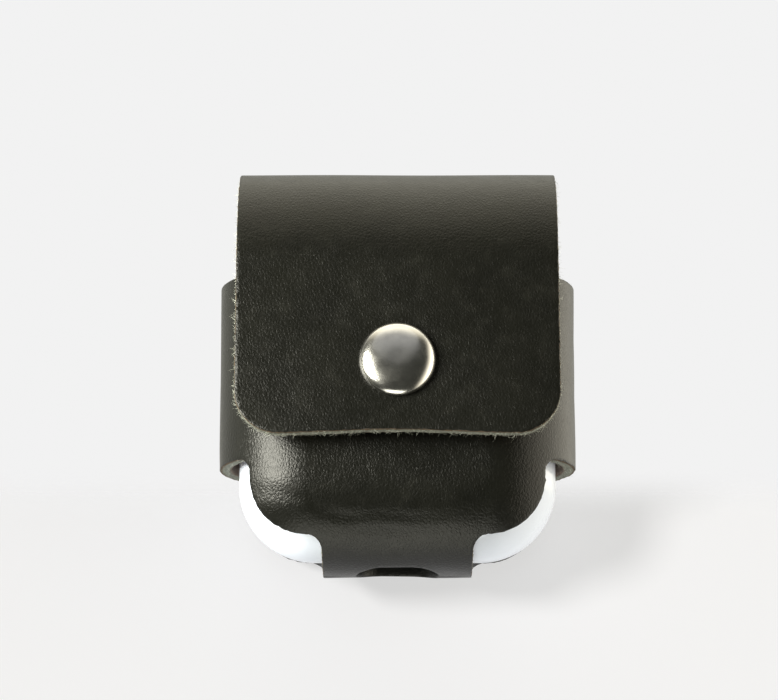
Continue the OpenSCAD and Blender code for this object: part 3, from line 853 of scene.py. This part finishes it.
def add_world():
    """A plain pale studio: the camera sees paper, and the object a dim ceiling and pale surroundings."""
    world = bpy.data.worlds.new("studio")
    bpy.context.scene.world = world
    world.use_nodes = True
    nodes, links = world.node_tree.nodes, world.node_tree.links
    nodes.clear()
    direction = nodes.new("ShaderNodeTexCoord").outputs["Generated"]

    def glow(towards, inner_deg, outer_deg, colour):
        """Light that comes from round one direction and fades out at outer_deg from it."""
        aim = nodes.new("ShaderNodeVectorMath")
        aim.operation = "DOT_PRODUCT"
        links.new(direction, aim.inputs[0])
        aim.inputs[1].default_value = Vector(towards).normalized()
        fade = nodes.new("ShaderNodeMapRange")
        fade.interpolation_type = "SMOOTHSTEP"
        links.new(aim.outputs["Value"], fade.inputs["Value"])
        fade.inputs["From Min"].default_value = math.cos(math.radians(outer_deg))
        fade.inputs["From Max"].default_value = math.cos(math.radians(inner_deg))
        tint = nodes.new("ShaderNodeVectorMath")
        tint.operation = "SCALE"
        tint.inputs[0].default_value = colour
        links.new(fade.outputs["Result"], tint.inputs["Scale"])
        return tint.outputs[0]

    room = nodes.new("ShaderNodeCombineXYZ")
    for i, level in enumerate(CEILING):
        room.inputs[i].default_value = level
    light = room.outputs[0]
    for args in GLOWS:
        total = nodes.new("ShaderNodeVectorMath")
        links.new(light, total.inputs[0])
        links.new(glow(*args), total.inputs[1])
        light = total.outputs[0]
    studio = nodes.new("ShaderNodeBackground")
    links.new(light, studio.inputs["Color"])
    paper = nodes.new("ShaderNodeBackground")
    paper.inputs["Color"].default_value = (PAPER, PAPER, PAPER, 1)
    rays = nodes.new("ShaderNodeLightPath")
    mix = nodes.new("ShaderNodeMixShader")
    links.new(rays.outputs["Is Camera Ray"], mix.inputs[0])
    links.new(studio.outputs[0], mix.inputs[1])
    links.new(paper.outputs[0], mix.inputs[2])
    output = nodes.new("ShaderNodeOutputWorld")
    links.new(mix.outputs[0], output.inputs["Surface"])


CEILING = (0.03, 0.031, 0.026)
# Pale surroundings: direction, where the light is full and where it ends in degrees from it, and colour.
GLOWS = (
    ((0.0, 0.0, -1.0), 80, 96, (0.75, 0.74, 0.67)),
    ((0.0, 1.0, 0.0), 8, 48, (1.75, 1.64, 1.33)),
    ((1.0, 0.0, -0.1), 15, 60, (2.7, 2.5, 2.05)),
    ((-1.0, 0.0, -0.1), 15, 45, (0.2, 0.2, 0.15)),
)
# Soft boxes: direction from the object, distance, width and power in watts.
SOFT_BOXES = {
    "key_box": ((-0.73, 0.1, 0.68), 0.26, 0.17, 1.9),
    "front_box": ((-0.1, -0.9, 0.25), 0.4, 0.3, 0.6),
}
SNAP_BOX = ((-0.05, 0.74, 0.67), 0.25, 0.22, 0.045)
BOX_COLOUR = (1.0, 0.98, 0.86)
# The sun casts the shadow on the floor.
SUN_POWER = 2.4
SUN_TOWARDS = (-0.6, 0.1, 0.79)
SUN_ANGLE = math.radians(13)
SUN_COLOUR = (1.0, 0.97, 0.93)


def light_group(name, obj, state):
    """Collection for light linking: INCLUDE lights only the object in it, and EXCLUDE all but that."""
    group = bpy.data.collections.new(name)
    group.objects.link(obj)
    group.collection_objects[0].light_linking.link_state = state
    return group


def soft_box(name, towards, distance, width, power, colour, group):
    """Round soft box that lights what its group says."""
    data = bpy.data.lights.new(name, "AREA")
    data.shape = "DISK"
    data.size = width
    data.energy = power
    data.color = colour
    light = place_light(data, towards, distance)
    light.light_linking.receiver_collection = group


def add_lights(floor, cap):
    """Two soft boxes for the object, one weak one for the snap cap alone, and a sun for the floor."""
    all_but_floor = light_group("all_but_floor", floor, "EXCLUDE")
    for name, place in SOFT_BOXES.items():
        soft_box(name, *place, BOX_COLOUR, all_but_floor)
    soft_box("snap_box", *SNAP_BOX, (1, 1, 1), light_group("snap_only", cap, "INCLUDE"))
    data = bpy.data.lights.new("sun", "SUN")
    data.energy = SUN_POWER
    data.angle = SUN_ANGLE
    data.color = SUN_COLOUR
    light = place_light(data, SUN_TOWARDS, 0.3)
    light.light_linking.receiver_collection = light_group("floor_only", floor, "INCLUDE")


def place_light(data, towards, distance):
    """Puts a light at a direction and distance from the object's middle, aimed at it."""
    light = bpy.data.objects.new(data.name, data)
    direction = Vector(towards).normalized()
    light.location = MIDDLE + direction * distance
    light.rotation_euler = direction.to_track_quat("Z", "Y").to_euler()
    bpy.context.scene.collection.objects.link(light)
    return light


FLOOR_GLOW = 0.605
FLOOR_HALF = 0.15
FLOOR_FAR = 0.0086


def fade(look, value, start, end, low, high):
    """Runs smoothly from low to high as value goes from start to end."""
    node = look.put("ShaderNodeMapRange", {
        "Value": value, "From Min": start, "From Max": end, "To Min": low, "To Max": high})
    node.interpolation_type = "SMOOTHSTEP"
    return node.outputs[0]


def add_floor():
    """Pale floor under the object. It fades out where the lid swings down past it as it opens."""
    look = Look("floor_paper", 0.9)
    look.plain(Base_Color=(0.33, 0.335, 0.35, 1), Specular_IOR_Level=0.0,
               Emission_Color=(1, 1, 1, 1), Emission_Strength=FLOOR_GLOW)
    parts = look.put("ShaderNodeSeparateXYZ", {"Vector": look.coords})
    far = fade(look, parts.outputs["Y"], -0.018, -0.011, 1.0, 0.0)
    near = fade(look, parts.outputs["Y"], -0.14, -0.09, 0.0, 1.0)
    side = fade(look, look.math("ABSOLUTE", parts.outputs["X"]), 0.08, 0.13, 1.0, 0.0)
    alpha = look.math("MULTIPLY", look.math("MULTIPLY", far, near), side)
    look.links.new(alpha, look.shader.inputs["Alpha"])
    corners = [(-FLOOR_HALF, -FLOOR_HALF, 0), (FLOOR_HALF, -FLOOR_HALF, 0),
               (FLOOR_HALF, FLOOR_FAR, 0), (-FLOOR_HALF, FLOOR_FAR, 0)]
    floor = make_object("floor", corners, [[0, 1, 2, 3]], [look.material])
    return floor


bpy.context.scene.view_settings.view_transform = "Standard"
add_camera()
add_world()
add_lights(add_floor(), make_snap_cap(metal("snap_nickel_dome", *NICKEL)))
skin = leather_skin()
leather = [skin, leather_edge(), leather_flesh()]
dress_nodes(slot_materials(skin))
fibre = fibre_look()
sleeve = make_sleeve(leather)
flap = make_strips(leather)
make_fibres("sleeve_fibres", sleeve, sleeve_fibre_edge, 1.2, fibre, "sleeve")
make_fibres("flap_fibres", flap, flap_fibre_edge, 4.0, fibre, "flap_front")
